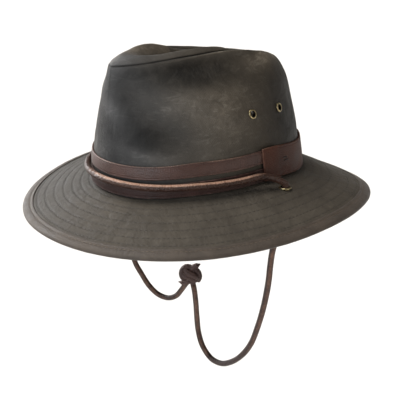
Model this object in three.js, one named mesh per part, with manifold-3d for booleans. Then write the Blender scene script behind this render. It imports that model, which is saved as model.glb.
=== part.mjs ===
import * as THREE from 'three';
import { mergeVertices } from 'three/addons/utils/BufferGeometryUtils.js';
import Module from 'manifold-3d';

// A traveller hat of waxed cotton with a leather band, brass eyelets and a round leather chin cord.
// Millimetres, +Z up. The front of the hat faces -Y and the wearer's left side faces +X.
// The origin is the middle of the head opening, level with the brim seam at the hat's sides.

const wasm = await Module();
wasm.setup();

// Driving dimensions
const headLength = 200.4;
const headWidth = 166.4;
const clothWall = 1.6;
const brimWall = 1.8;
const brimWidth = 62.0;
const leatherWall = 1.6;
const cordDiameter = 5.6;

// Gaps between neighbours: where one lies on another, and at the seam of side and tip
const seatGap = 0.3;
const seamGap = 0.35;

// Fineness of the faceted solids
const facetsAround = 60;
const cordSides = 8;
const frontCordSteps = 42;
const leftStrandSteps = 32;
const rightStrandSteps = 24;

// Sections of the crown's side, a row for each level from the brim seam (0) to the tip seam (1).
// front, back and half are reaches from the middle; pinch narrows the front; climb is a share of
// the height of the tip seam, at the front and at the back, where the side folds over the ridge.
const crownSections = [
  { level: 0.0, front: 100.2, back: 100.2, half: 83.2, pinch: 0.0, climbFront: 0.0, climbBack: 0.0 },
  { level: 0.27, front: 96.8, back: 96.8, half: 79.6, pinch: 0.01, climbFront: 0.27, climbBack: 0.3 },
  { level: 0.5, front: 94.0, back: 93.0, half: 74.5, pinch: 0.1, climbFront: 0.5, climbBack: 0.56 },
  { level: 0.75, front: 90.5, back: 87.5, half: 65.5, pinch: 0.27, climbFront: 0.75, climbBack: 0.86 },
  { level: 0.9, front: 87.5, back: 77.0, half: 55.5, pinch: 0.36, climbFront: 0.91, climbBack: 1.01 },
  { level: 1.0, front: 85.5, back: 61.0, half: 48.0, pinch: 0.42, climbFront: 1.0, climbBack: 0.99 },
];

// Height of the tip seam above the brim seam, a row for each place along the hat from the front
// (-1) to the back (1), on the wearer's left and right
const seamLine = [
  { along: -1.0, left: 100.0, right: 100.0 },
  { along: -0.75, left: 102.0, right: 101.5 },
  { along: -0.4, left: 104.5, right: 102.5 },
  { along: 0.0, left: 105.0, right: 97.5 },
  { along: 0.45, left: 98.0, right: 91.5 },
  { along: 0.8, left: 89.0, right: 87.0 },
  { along: 1.0, left: 85.0, right: 85.0 },
];

// Dents of the crown's side: angle and level of the middle, spread in degrees, reach in levels,
// lean in levels for each degree, and depth on the wearer's left and right, below zero for a
// bulge. From nothing at the brim seam they grow to their full depth at the level dentsFrom.
const crownDents = [
  { angle: -50, level: 0.52, spread: 22, reach: 0.17, lean: 0.011, left: 5.5, right: 3.5 },
  { angle: -64, level: 0.84, spread: 14, reach: 0.1, lean: 0.004, left: 4, right: 0.5 },
  { angle: -14, level: 0.85, spread: 32, reach: 0.07, lean: 0.001, left: 6.5, right: 6.5 },
  { angle: -22, level: 0.62, spread: 20, reach: 0.14, lean: 0.008, left: -3.5, right: -3.5 },
  { angle: -58, level: 0.72, spread: 20, reach: 0.27, lean: 0, left: 0, right: -2.8 },
];
const dentsFrom = 0.3;

// Dip of the brim seam below the level of its sides, at the back and at the front: how deep, and
// between which places along the hat (0 at the sides, 1 at the end) it sets in
const seamDips = {
  back: { depth: 10, from: 0, full: 0.8 },
  front: { depth: 2, from: 0.55, full: 0.95 },
};

// Shape of the tip: how far its crest stands above its seam, where the crest runs, and how high
// the floor of the dent lies, at the front (frontAt along Y) and at the back (backAt)
const tip = {
  middle: -6,
  riseNose: 6,
  riseSide: 4.5,
  crest: 0.8,
  floorFront: 100,
  floorBack: 84,
  frontAt: -75,
  backAt: 0,
};

// Fall of the brim's edge below the brim seam, as waves round the hat, and the share of the fall
// that grows with the square of the way out
const brimFall = { mean: 26.2, pairs: -5.4, towardsBack: 9.3, towardsLeft: 3, thirds: -2.6 };
const brimCurve = 0.12;

// Binding of the brim's edge: its width, its wall, how far its sides reach past the brim's edge
// and how far its round does, both as a share of the brim's width
const binding = { width: 8.6, wall: 0.5, sideReach: 0.004, roundReach: 0.014 };

// Band of two leather straps, the wide wrap that covers their ends, and the loop over its edge:
// heights above the brim seam, and angles from the wearer's left towards the back
const straps = {
  band_upper: { low: 15.6, high: 26.3 },
  band_lower: { low: 0.8, high: 11.8 },
};
const wrap = { from: 7, to: 62, low: 0.8, high: 27.3 };
const keeper = { from: -0.5, to: 10.5, low: 0.6, high: 27.8 };
const strapEndGap = 0.3;

// Eyelets: radius of hole, barrel and flange, width of the flange's bevel, thickness of its rim,
// and the rim's gap to the wall
const ventEyelet = { hole: 2.3, barrel: 2.9, flange: 4.1, bevel: 0.5, rim: 0.7, gap: 0.45, sides: 10 };
const cordEyelet = { hole: 3.4, barrel: 3.8, flange: 5.6, bevel: 0.5, rim: 1.0, gap: 0.35, sides: 14 };
const drillLength = 12;

// Places of the eyelets: the vents on the crown, and the cord's on the brim, past the crown's foot
const ventPlaces = {
  vent_eyelet_left_front: { angle: -1.5, height: 56.5 },
  vent_eyelet_left_back: { angle: 20.5, height: 54 },
  vent_eyelet_right_front: { angle: 181.5, height: 56.5 },
  vent_eyelet_right_back: { angle: 159.5, height: 54 },
};
const ventSink = 0.24;
const cordEyeletOut = 13.5;
const cordEyeletAngles = { left: 6, right: 174 };

// Chin cord. It lies round the front of the crown, passes down through both eyelets and hangs in
// two strands, whose ends are knotted together. Each strand is a list of points below its eyelet.
const cordHeight = { side: 7, front: 12 };
const cordAtFront = { from: -14, to: -166, places: 19 };
const cordTurnIn = { left: -3, right: -177, stand: 4 };
const cordAboveBrim = 4.2;
const cordBelowBrim = 6;
const strandLeft = [
  [92.5, 10, -24],
  [90.5, 10, -38],
  [87, 10, -53],
  [82.5, 10, -67],
  [79.5, 10, -82],
  [77.2, 10, -98],
  [73.5, 10, -115],
  [68.5, 10, -133],
  [61.5, 10, -153],
  [52.5, 10, -174],
  [40, 10, -192.5],
  [23.8, 10, -208.5],
  [6.5, 10, -218.8],
  [-9, 10, -219.8],
  [-21.2, 10, -211],
  [-26.8, 10, -197],
  [-28.2, 10, -180],
  [-28.6, 10, -163],
  [-29.8, 10, -150],
  [-31.3, 10, -143.5],
];
const strandRight = [
  [-94.5, 9, -22],
  [-95.5, 6.5, -38],
  [-98, 2.5, -58],
  [-101, -3, -80],
  [-103.5, -8.5, -100],
  [-104, -12, -118],
  [-99.9, -12.2, -134],
  [-93, -10, -146],
  [-84.5, -7, -158.5],
  [-74.5, -3.5, -166],
  [-63.5, 0.5, -167.5],
  [-53.5, 4, -162.5],
  [-46.5, 6.4, -153.5],
  [-41.5, 8.2, -146],
  [-38.9, 9, -142.5],
];

// Knot. Its frame is turned about +Z and its points go across, up and outwards from its middle.
const knotFrame = { middle: [-35.5, 10, -131.7], turn: 50.8 };
const knotTurns = {
  bight: {
    steps: 9,
    points: [
      [-2, -7, 0.5],
      [-7.5, -4, 1],
      [-8, 3, 1],
      [-3.5, 7.2, 0],
      [2.5, 5.5, 0],
      [8, 1.5, 0.5],
      [9.3, -4.5, 0.5],
      [7.5, -9.3, -0.5],
    ],
  },
  over: { steps: 4, points: [[-6, 6, 0], [-3, 3.5, 3.5], [1.5, 0, 4.6], [6, -3.5, 3], [8, -7, 0]] },
  under: { steps: 4, points: [[-7.5, 1, 1], [-4.5, -1.5, 3.6], [0, -4, 4.2], [4, -7, 2.6], [6, -8, 0]] },
  tailLeft: { steps: 3, points: [[4, -7, 1], [-2, -7.8, 3.2], [-7, -8.8, 3], [-12, -8.4, 1.5]] },
  tailRight: { steps: 3, points: [[-1, 3, 0], [3, 6.5, 1], [7.5, 8.5, 1], [11, 9.8, 0.5]] },
};
const knotCore = { across: 7, rise: 6.5, out: 3.6 };
const stubReach = [seatGap, 5, 9];

// Materials
const waxedCotton = new THREE.MeshStandardMaterial({ color: 0x39342b, roughness: 0.75, metalness: 0 });
const bindingCotton = new THREE.MeshStandardMaterial({ color: 0x46372a, roughness: 0.7, metalness: 0 });
const leather = new THREE.MeshStandardMaterial({ color: 0x47291f, roughness: 0.5, metalness: 0 });
const cordLeather = new THREE.MeshStandardMaterial({ color: 0x5b3a2b, roughness: 0.5, metalness: 0 });
const brass = new THREE.MeshStandardMaterial({ color: 0xa98d52, roughness: 0.35, metalness: 1 });

const hat = new THREE.Group();
hat.name = 'traveller_hat';

const up = new THREE.Vector3(0, 0, 1);
const { clamp, degToRad, lerp, radToDeg, smoothstep } = THREE.MathUtils;

function add(name, geometry, material) {
  const mesh = new THREE.Mesh(geometry, material);
  mesh.name = name;
  hat.add(mesh);
}

function steps(from, to, count) {
  return Array.from({ length: count + 1 }, (_, i) => from + ((to - from) * i) / count);
}

// One column of a table at a place between its rows, as a smooth curve through the rows
function column(rows, key, name, value) {
  let at = 0;
  while (at < rows.length - 2 && value > rows[at + 1][key]) at += 1;
  const slope = (row) => {
    const before = rows[Math.max(row - 1, 0)];
    const after = rows[Math.min(row + 1, rows.length - 1)];
    return (after[name] - before[name]) / (after[key] - before[key]);
  };
  const step = rows[at + 1][key] - rows[at][key];
  const t = (value - rows[at][key]) / step;
  const ease = t * t * (3 - 2 * t);
  const start = t * (1 - t) * (1 - t) * step * slope(at);
  const end = t * t * (t - 1) * step * slope(at + 1);
  return rows[at][name] * (1 - ease) + rows[at + 1][name] * ease + start + end;
}

function section(name, level) {
  return column(crownSections, 'level', name, level);
}

// Share of frontness: 1 at the front, 0 at the back
function frontness(angle) {
  return (1 - Math.sin(angle)) / 2;
}

function seamHeightAt(angle) {
  const side = Math.cos(angle) > 0 ? 'left' : 'right';
  return column(seamLine, 'along', side, Math.sin(angle));
}

// Depth of the dents at a place on the crown's side
function dentAt(angle, level) {
  const degrees = radToDeg(Math.asin(Math.sin(angle)));
  let depth = 0;
  for (const dent of crownDents) {
    const off = degrees - dent.angle;
    const rise = level - dent.level + dent.lean * off;
    const deepest = Math.cos(angle) > 0 ? dent.left : dent.right;
    depth += deepest * Math.exp(-((off / dent.spread) ** 2) - (rise / dent.reach) ** 2);
  }
  return depth * Math.min(1, level / dentsFrom) ** 2;
}

// Depth of the brim seam below the level of its sides
function seamDipAt(angle) {
  const along = Math.sin(angle);
  const { back, front } = seamDips;
  const atBack = back.depth * smoothstep(along, back.from, back.full);
  return atBack + front.depth * smoothstep(-along, front.from, front.full);
}

// Outer surface of the crown's side
function crownAt(angle, level) {
  const front = frontness(angle) ** 2;
  const narrow = 1 - section('pinch', level) * front;
  const reach = Math.sin(angle) < 0 ? section('front', level) : section('back', level);
  const dent = dentAt(angle, level);
  const x = (section('half', level) * narrow - dent) * Math.cos(angle);
  const y = (reach - dent) * Math.sin(angle);
  const climb = lerp(section('climbBack', level), section('climbFront', level), front);
  const dip = seamDipAt(angle) * (1 - level) ** 2;
  return new THREE.Vector3(x, y, climb * seamHeightAt(angle) - dip);
}

// Outward direction of a surface given by an angle and a second number
function outward(surface, angle, along) {
  const turn = 0.01;
  const move = 0.004;
  const round = surface(angle + turn, along).sub(surface(angle - turn, along));
  const rise = surface(angle, along + move).sub(surface(angle, along - move));
  return round.cross(rise).normalize();
}

// A point off the crown's side, measured square to it
function crownOut(angle, level, distance) {
  const inside = clamp(level, 0.004, 0.996);
  return crownAt(angle, level).addScaledVector(outward(crownAt, angle, inside), distance);
}

// Level at which the crown's side reaches a height
function levelOf(angle, height) {
  const halvings = 20;
  let [low, high] = [0, 1];
  for (let i = 0; i < halvings; i += 1) {
    const middle = (low + high) / 2;
    if (crownAt(angle, middle).z < height) low = middle;
    else high = middle;
  }
  return (low + high) / 2;
}

// Upper surface of the tip, from its seam (reach 1) to its middle (reach 0): up over the crest,
// then down to the floor of the dent
function tipAt(angle, reach) {
  const seam = crownAt(angle, 1);
  const front = frontness(angle);
  const side = lerp(0, tip.riseSide, smoothstep(front, 0.35, 0.65));
  const rise = lerp(side, tip.riseNose, smoothstep(front, 0.85, 1));
  const inwards = (1 - reach) / (1 - tip.crest);
  const crest = inwards < 1 ? Math.sin((inwards * Math.PI) / 2) : 1;
  const y = tip.middle + (seam.y - tip.middle) * reach;
  const floor = lerp(tip.floorFront, tip.floorBack, smoothstep(y, tip.frontAt, tip.backAt));
  const fall = smoothstep(1 - reach, 0.12, 0.62);
  return new THREE.Vector3(seam.x * reach, y, lerp(seam.z + rise * crest, floor, fall));
}

function brimFallAt(angle) {
  const waves = brimFall.pairs * Math.cos(2 * angle) + brimFall.thirds * Math.sin(3 * angle);
  const leans = brimFall.towardsBack * Math.sin(angle) + brimFall.towardsLeft * Math.cos(angle);
  return brimFall.mean + waves + leans;
}

// Upper surface of the brim, from the crown's inside (out 0) to the edge (out 1)
const brimReach = brimWidth + clothWall;
function brimAt(angle, out) {
  const inner = brimReach * out - clothWall;
  const x = (headWidth / 2 + inner) * Math.cos(angle);
  const y = (headLength / 2 + inner) * Math.sin(angle);
  const slope = lerp(out, out * out, brimCurve);
  const dip = seamDipAt(angle) * (1 - out);
  return new THREE.Vector3(x, y, -seatGap - dip - brimFallAt(angle) * slope);
}

// A lathe whose closed outline is a chart of the piece: place turns the angle round the hat and
// the outline's two numbers into a point
function charted(outline, place) {
  const profile = outline.map(([across, along]) => new THREE.Vector2(across, along));
  const geometry = new THREE.LatheGeometry(profile, facetsAround);
  const at = geometry.attributes.position;
  for (let i = 0; i < at.count; i += 1) {
    const angle = Math.atan2(at.getX(i), at.getZ(i));
    const point = place(angle, Math.hypot(at.getX(i), at.getZ(i)), at.getY(i));
    at.setXYZ(i, point.x, point.y, point.z);
  }
  return geometry;
}

// Outline of a wall: along the first layer in steps, then back along the last
function wallOutline(levels, first, last) {
  const outline = levels.map((level) => [first, level]);
  outline.push(...levels.toReversed().map((level) => [last, level]));
  return [...outline, outline[0]];
}

function toSolid(geometry) {
  const bare = geometry.clone();
  bare.deleteAttribute('normal');
  bare.deleteAttribute('uv');
  const merged = mergeVertices(bare, 1e-4);
  const vertProperties = merged.attributes.position.array;
  const triVerts = new Uint32Array(merged.index.array);
  return new wasm.Manifold(new wasm.Mesh({ numProp: 3, vertProperties, triVerts }));
}

function fromSolid(solid) {
  const mesh = solid.getMesh();
  const geometry = new THREE.BufferGeometry();
  geometry.setAttribute('position', new THREE.BufferAttribute(mesh.vertProperties, 3));
  geometry.setIndex(new THREE.BufferAttribute(mesh.triVerts, 1));
  return geometry;
}

// A geometry turned so that its +Z points along a direction, and moved to a place
function stood(geometry, { place, direction }) {
  const turn = new THREE.Quaternion().setFromUnitVectors(up, direction);
  return geometry.applyQuaternion(turn).translate(place.x, place.y, place.z);
}

// An eyelet through a wall: washer below, barrel, and a bevelled flange above
function eyeletGeometry(eyelet, wall) {
  const half = wall / 2 + eyelet.gap;
  const outline = [
    [eyelet.hole, -half - eyelet.rim],
    [eyelet.flange - eyelet.bevel, -half],
    [eyelet.barrel, -half],
    [eyelet.barrel, half],
    [eyelet.flange, half],
    [eyelet.flange - eyelet.bevel, half + eyelet.rim],
    [eyelet.hole + eyelet.bevel, half + eyelet.rim],
    [eyelet.hole, half],
  ];
  const closed = [...outline, outline[0]].map(([radius, height]) => new THREE.Vector2(radius, height));
  return new THREE.LatheGeometry(closed, eyelet.sides).rotateX(Math.PI / 2);
}

// What an eyelet's hole takes out of its wall
function drillGeometry({ barrel, sides }) {
  const radius = barrel + seatGap;
  return new THREE.CylinderGeometry(radius, radius, drillLength, sides).rotateX(Math.PI / 2);
}

// Sets an eyelet in a wall's solid and gives back the wall with its hole
function setEyelet(wallSolid, name, eyelet, wall, seat) {
  add(name, stood(eyeletGeometry(eyelet, wall), seat), brass);
  return wallSolid.subtract(toSolid(stood(drillGeometry(eyelet), seat)));
}

// Crown's side, with its vents
function ventSeat({ angle, height }) {
  const turn = degToRad(angle);
  const level = levelOf(turn, height);
  const place = crownOut(turn, level, -clothWall / 2 - ventSink);
  return { place, direction: outward(crownAt, turn, level) };
}

const crownLevels = [0, 0.14, 0.28, 0.42, 0.56, 0.68, 0.78, 0.86, 0.93, 1];
const sideOutline = wallOutline(crownLevels, 2, 1);
const sidePlace = (angle, layer, level) => crownOut(angle, level, (layer - 2) * clothWall);
let sideSolid = toSolid(charted(sideOutline, sidePlace));
for (const [name, where] of Object.entries(ventPlaces)) {
  sideSolid = setEyelet(sideSolid, name, ventEyelet, clothWall, ventSeat(where));
}
add('crown_side', fromSolid(sideSolid), waxedCotton);

// Crown's tip. Its outer ring goes on from the side's own cloth, past the seam.
const tipReaches = [1, 0.93, 0.86, 0.77, 0.65, 0.52, 0.34, 0];
const tipOutline = tipReaches.toReversed().map((reach) => [reach, 1]);
tipOutline.push(...tipReaches.map((reach) => [reach, 0]));
function tipPlace(angle, reach, under) {
  if (reach > 0.999) {
    const onwards = crownAt(angle, 1).sub(crownAt(angle, 0.98)).setLength(seamGap);
    return crownOut(angle, 1, -clothWall * under).add(onwards);
  }
  const down = reach < 0.01 ? up.clone().negate() : outward(tipAt, angle, Math.max(reach, 0.03));
  return tipAt(angle, reach).addScaledVector(down, clothWall * under);
}
add('crown_tip', charted(tipOutline, tipPlace), waxedCotton);

// Brim, with the cord's eyelets
function cordSeat(side) {
  const angle = degToRad(cordEyeletAngles[side]);
  const out = (cordEyeletOut + clothWall) / brimReach;
  const direction = outward(brimAt, angle, out).negate();
  return { place: brimAt(angle, out).addScaledVector(direction, -brimWall / 2), direction };
}

const brimOutline = wallOutline(steps(0, 1, 4), 1, 2);
const brimPlace = (angle, layer, out) => brimAt(angle, out).addScaledVector(up, (layer - 2) * brimWall);
let brimSolid = toSolid(charted(brimOutline, brimPlace));
for (const side of Object.keys(cordEyeletAngles)) {
  brimSolid = setEyelet(brimSolid, `cord_eyelet_${side}`, cordEyelet, brimWall, cordSeat(side));
}
add('brim', fromSolid(brimSolid), waxedCotton);

// Binding: a strip folded over the brim's edge, charted by the way out and the height above the
// brim's upper surface
const bindingInner = 1 - binding.width / brimReach;
const bindingSide = 1 + binding.sideReach;
const bindingTop = seatGap;
const bindingUnder = -brimWall - seatGap;
const bindingOutline = [
  [bindingInner, bindingTop],
  [bindingSide, bindingTop],
  [bindingSide, bindingUnder],
  [bindingInner, bindingUnder],
  [bindingInner, bindingUnder - binding.wall],
  [bindingSide, bindingUnder - binding.wall],
  [1 + binding.roundReach, -brimWall / 2],
  [bindingSide, bindingTop + binding.wall],
  [bindingInner, bindingTop + binding.wall],
  [bindingInner, bindingTop],
];
const bindingPlace = (angle, out, above) => brimAt(angle, out).addScaledVector(up, above);
add('brim_binding', charted(bindingOutline, bindingPlace), bindingCotton);

// Band. Its heights are above the brim seam, and follow its dips.
function bandPlace(angle, height, distance) {
  return crownOut(angle, levelOf(angle, height - seamDipAt(angle)), distance);
}

// A leather strip of the band: a box bent round the crown at a distance from it
function bentLeather({ from, to, low, high }, distance) {
  const facets = Math.round(((to - from) / 360) * facetsAround);
  const geometry = new THREE.BoxGeometry(to - from, high - low, leatherWall, facets, 1, 1);
  const at = geometry.attributes.position;
  for (let i = 0; i < at.count; i += 1) {
    const angle = degToRad((from + to) / 2 + at.getX(i));
    const height = (low + high) / 2 + at.getY(i);
    const point = bandPlace(angle, height, distance + leatherWall / 2 + at.getZ(i));
    at.setXYZ(i, point.x, point.y, point.z);
  }
  return geometry;
}

const overLeather = seatGap + leatherWall + seatGap;
for (const [name, strap] of Object.entries(straps)) {
  const round = { from: wrap.to + strapEndGap, to: wrap.from + 360 - strapEndGap };
  add(name, bentLeather({ ...strap, ...round }, seatGap), leather);
}
add('band_wrap', bentLeather(wrap, seatGap), leather);
add('band_keeper', bentLeather(keeper, overLeather), leather);

// A round cord along a smooth curve through points
function cordGeometry(points, count) {
  const extrudePath = new THREE.CatmullRomCurve3(points, false, 'centripetal');
  const radius = cordDiameter / 2;
  const turns = steps(0, 2 * Math.PI, cordSides).slice(0, cordSides);
  const corners = turns.map((turn) => new THREE.Vector2(radius * Math.cos(turn), radius * Math.sin(turn)));
  const round = new THREE.Shape(corners);
  return new THREE.ExtrudeGeometry(round, { steps: count, extrudePath, bevelEnabled: false });
}

function vectors(list) {
  return list.map((point) => new THREE.Vector3(...point));
}

// Points of the cord on the axis of an eyelet, at heights above the middle of the brim's wall
function throughEyelet(side, heights) {
  const { place, direction } = cordSeat(side);
  return heights.map((height) => place.clone().addScaledVector(direction, height));
}

// A point of the cord beside the lower strap
function roundFront(degrees, stand = 0) {
  const angle = degToRad(degrees);
  const height = lerp(cordHeight.side, cordHeight.front, Math.sin(angle) ** 2);
  return bandPlace(angle, height, overLeather + cordDiameter / 2 + stand);
}

const frontCordPath = [
  ...throughEyelet('left', [-cordBelowBrim, 0, cordAboveBrim]),
  roundFront(cordTurnIn.left, cordTurnIn.stand),
  ...steps(cordAtFront.from, cordAtFront.to, cordAtFront.places).map((degrees) => roundFront(degrees)),
  roundFront(cordTurnIn.right, cordTurnIn.stand),
  ...throughEyelet('right', [cordAboveBrim, 0, -cordBelowBrim]),
];
add('front_cord', cordGeometry(frontCordPath, frontCordSteps), cordLeather);

function addStrand(side, strand, count) {
  const exit = throughEyelet(side, [-cordBelowBrim - seatGap, -cordBelowBrim - 2 * cordDiameter]);
  add(`chin_cord_${side}`, cordGeometry([...exit, ...vectors(strand)], count), cordLeather);
}
addStrand('left', strandLeft, leftStrandSteps);
addStrand('right', strandRight, rightStrandSteps);

// Knot: its turns and the core inside them joined into one solid, with a short stub that goes on
// from each strand. Of the joined shells only the outer one is kept, so no pocket stays inside.
function knotPoints(list) {
  const turn = degToRad(knotFrame.turn);
  const right = new THREE.Vector3(Math.cos(turn), Math.sin(turn), 0);
  const outwards = new THREE.Vector3(Math.sin(turn), -Math.cos(turn), 0);
  return list.map(([across, rise, out]) => {
    const point = new THREE.Vector3(...knotFrame.middle).addScaledVector(right, across);
    return point.addScaledVector(outwards, out).addScaledVector(up, rise);
  });
}

function stubPoints(strand) {
  const [before, end] = vectors(strand.slice(-2));
  const along = end.clone().sub(before).normalize();
  return stubReach.map((distance) => end.clone().addScaledVector(along, distance));
}

let knotSolid = toSolid(cordGeometry(stubPoints(strandLeft), 2));
knotSolid = knotSolid.add(toSolid(cordGeometry(stubPoints(strandRight), 2)));
const core = new THREE.IcosahedronGeometry(1, 1).scale(knotCore.across, knotCore.out, knotCore.rise);
core.rotateZ(degToRad(knotFrame.turn)).translate(...knotFrame.middle);
knotSolid = knotSolid.add(toSolid(core));
for (const turn of Object.values(knotTurns)) {
  knotSolid = knotSolid.add(toSolid(cordGeometry(knotPoints(turn.points), turn.steps)));
}
const shells = knotSolid.decompose().toSorted((one, other) => other.volume() - one.volume());
add('chin_knot', fromSolid(shells[0]), cordLeather);

export default hat;
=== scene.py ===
"""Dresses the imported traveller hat: waxed cotton crown and stitched brim, oiled leather band,
brass eyelets and the knotted leather chin cord, over a pale floor in soft studio light."""

import math
from collections import namedtuple

import bmesh
import bpy
import numpy as np
from mathutils import Matrix, Vector, noise


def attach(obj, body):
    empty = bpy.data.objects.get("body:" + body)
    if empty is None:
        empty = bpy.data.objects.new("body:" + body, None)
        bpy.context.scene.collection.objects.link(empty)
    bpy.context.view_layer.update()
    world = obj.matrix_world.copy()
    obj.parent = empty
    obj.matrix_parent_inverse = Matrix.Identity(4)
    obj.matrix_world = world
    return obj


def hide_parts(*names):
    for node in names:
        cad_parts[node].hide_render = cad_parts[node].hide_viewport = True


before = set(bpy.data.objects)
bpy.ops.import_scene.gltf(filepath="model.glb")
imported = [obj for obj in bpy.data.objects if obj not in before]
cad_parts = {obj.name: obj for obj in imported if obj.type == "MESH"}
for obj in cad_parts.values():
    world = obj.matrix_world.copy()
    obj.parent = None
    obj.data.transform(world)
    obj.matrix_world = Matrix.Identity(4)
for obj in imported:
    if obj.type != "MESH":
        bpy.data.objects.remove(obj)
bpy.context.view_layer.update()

# The hat's own sizes are in millimetres, as in its source, and MM turns them into metres
MM = 0.001
WHOLE_TURN = 2 * math.pi
UP = np.array([0.0, 0.0, 1.0])

# Driving sizes, the same as the solids'
HEAD_LENGTH = 200.4
HEAD_WIDTH = 166.4
CLOTH_WALL = 1.6
BRIM_WALL = 1.8
BRIM_WIDTH = 62.0
BRIM_REACH = BRIM_WIDTH + CLOTH_WALL
LEATHER_WALL = 1.6
SEAT_GAP = 0.3
OVER_STRAP = SEAT_GAP + LEATHER_WALL + SEAT_GAP
CORD_DIAMETER = 5.6

# Camera, matched to the photograph: where it stands and looks, how far it rolls, and its lens
CAMERA = {
    "distance": 700.0,
    "azimuth": 50.813,
    "elevation": 18.851,
    "roll": -2.833,
    "aim_across": -0.914,
    "aim_up": -39.429,
    "focal_pixels": 772.474,
    "frame_pixels": 400.0,
}
SENSOR = 36.0

# Crown side from the brim seam (level 0) to the tip seam (level 1)
CROWN_SECTIONS = {
    "level": (0.0, 0.27, 0.5, 0.75, 0.9, 1.0),
    "front": (100.2, 96.8, 94.0, 90.5, 87.5, 85.5),
    "back": (100.2, 96.8, 93.0, 87.5, 77.0, 61.0),
    "half": (83.2, 79.6, 74.5, 65.5, 55.5, 48.0),
    "pinch": (0.0, 0.01, 0.1, 0.27, 0.36, 0.42),
    "climb_front": (0.0, 0.27, 0.5, 0.75, 0.91, 1.0),
    "climb_back": (0.0, 0.3, 0.56, 0.86, 1.01, 0.99),
}

# Height of the tip seam, from the front (-1) to the back (1)
SEAM_LINE = {
    "along": (-1.0, -0.75, -0.4, 0.0, 0.45, 0.8, 1.0),
    "left": (100.0, 102.0, 104.5, 105.0, 98.0, 89.0, 85.0),
    "right": (100.0, 101.5, 102.5, 97.5, 91.5, 87.0, 85.0),
}

# A patch of the crown's side: its middle as an angle in degrees and a level, its spread in degrees
# and reach in levels, its lean in levels for each degree, and how much it has of what it stands for
Patch = namedtuple("Patch", "angle level spread reach lean amount")

# Dents, with their depths on the wearer's left and right. They fade out below a level.
DENTS = (
    Patch(-50, 0.52, 22, 0.17, 0.011, {"left": 5.5, "right": 3.5}),
    Patch(-64, 0.84, 14, 0.1, 0.004, {"left": 4, "right": 0.5}),
    Patch(-14, 0.85, 32, 0.07, 0.001, {"left": 6.5, "right": 6.5}),
    Patch(-22, 0.62, 20, 0.14, 0.008, {"left": -3.5, "right": -3.5}),
    Patch(-58, 0.72, 20, 0.27, 0, {"left": 0, "right": -2.8}),
)
DENTS_FROM = 0.3

# Dips of the brim seam below the level of its sides
SEAM_DIPS = {
    "back": {"depth": 10, "from": 0, "full": 0.8},
    "front": {"depth": 2, "from": 0.55, "full": 0.95},
}

# Tip, with its dent's floor, and the fall of the brim as waves round the hat
TIP = {"middle": -6, "rise_nose": 6, "rise_side": 4.5, "crest": 0.8, "slope": (0.12, 0.62)}
TIP_FRONTNESS = {"side": (0.35, 0.65), "nose": (0.85, 1)}
TIP_FLOOR = {"front": 100, "back": 84, "front_at": -75, "back_at": 0}
BRIM_FALL = {"mean": 26.2, "pairs": -5.4, "thirds": -2.6, "towards_back": 9.3, "towards_left": 3}
# How much of the brim's fall is a curve, and not straight
BRIM_CURVE = 0.12

# Band: heights in millimetres and angles in degrees, the gap from the straps' ends to the wrap, and
# how far the ends of all strips are rounded
STRAP_GAP = 0.3
STRIP_END = 0.4
STRAPS = {
    "band_upper": {"low": 15.6, "high": 26.3, "leather": "band_leather"},
    "band_lower": {"low": 0.8, "high": 11.8, "leather": "shaded_leather"},
}
WRAP = {"from": 7, "to": 62, "low": 0.8, "high": 27.3}
KEEPER = {"from": -0.5, "to": 10.5, "low": 0.6, "high": 27.8}

# Eyelets: radii of hole, barrel and flange, height of the rim, and the gap to the cloth
VENT = {"hole": 2.3, "barrel": 2.9, "flange": 4.1, "rim": 0.9, "gap": 0.3}
CORD_EYELET = {"hole": 3.4, "barrel": 3.8, "flange": 5.6, "rim": 1.2, "gap": 0.3}
VENT_PLACES = {
    "vent_eyelet_left_front": {"angle": -1.5, "height": 56.5},
    "vent_eyelet_left_back": {"angle": 20.5, "height": 54},
    "vent_eyelet_right_front": {"angle": 181.5, "height": 56.5},
    "vent_eyelet_right_back": {"angle": 159.5, "height": 54},
}
CORD_EYELET_OUT = 13.5
CORD_EYELET_ANGLES = {"left": 6, "right": 174}

# Chin cord: its height over the band, and how far it comes out of the eyelets
CORD_HEIGHT = {"side": 7, "front": 12}
CORD_BELOW_BRIM = 6
CORD_ABOVE_BRIM = 4.2
# Where it lies round the front, in degrees, and where it turns in to an eyelet, that much further out
CORD_ROUND = {"from": -14, "to": -166, "points": 20}
CORD_TURNS_IN = {"left": -3, "right": -177, "stand": 4}
# How strong the painted highlight along the top of the front cord is on its way from the left eyelet to
# the right one
CORD_HIGHLIGHT = {"along": (0.0, 0.08, 0.14, 0.46, 0.6, 1.0), "amount": (0.0, 0.1, 1.0, 1.0, 0.1, 0.1)}
# Painted highlight on the hanging strands: the side that it faces, and how strong it is
STRAND_HIGHLIGHT = {"side": (1, -0.6, 0.3), "amount": 0.55}
# Faces round a cord, the space between the points of its curve, and how much its thickness changes
CORD_SIDES = 20
CORD_STEP = 1.6
CORD_WOBBLE = 0.12
# The hanging strands, from below the eyelets to the knot
STRAND_LEFT = (
    (92.5, 10, -24), (90.5, 10, -38), (87, 10, -53), (82.5, 10, -67), (79.5, 10, -82),
    (77.2, 10, -98), (73.5, 10, -115), (68.5, 10, -133), (61.5, 10, -153), (52.5, 10, -174),
    (40, 10, -192.5), (23.8, 10, -208.5), (6.5, 10, -218.8), (-9, 10, -219.8), (-21.2, 10, -211),
    (-26.8, 10, -197), (-28.2, 10, -180), (-28.6, 10, -163), (-29.8, 10, -150), (-31.3, 10, -143.5),
)
STRAND_RIGHT = (
    (-94.5, 9, -22), (-95.5, 6.5, -38), (-98, 2.5, -58), (-101, -3, -80), (-103.5, -8.5, -100),
    (-104, -12, -118), (-99.9, -12.2, -134), (-93, -10, -146), (-84.5, -7, -158.5),
    (-74.5, -3.5, -166), (-63.5, 0.5, -167.5), (-53.5, 4, -162.5), (-46.5, 6.4, -153.5),
    (-41.5, 8.2, -146), (-38.9, 9, -142.5),
)
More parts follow.
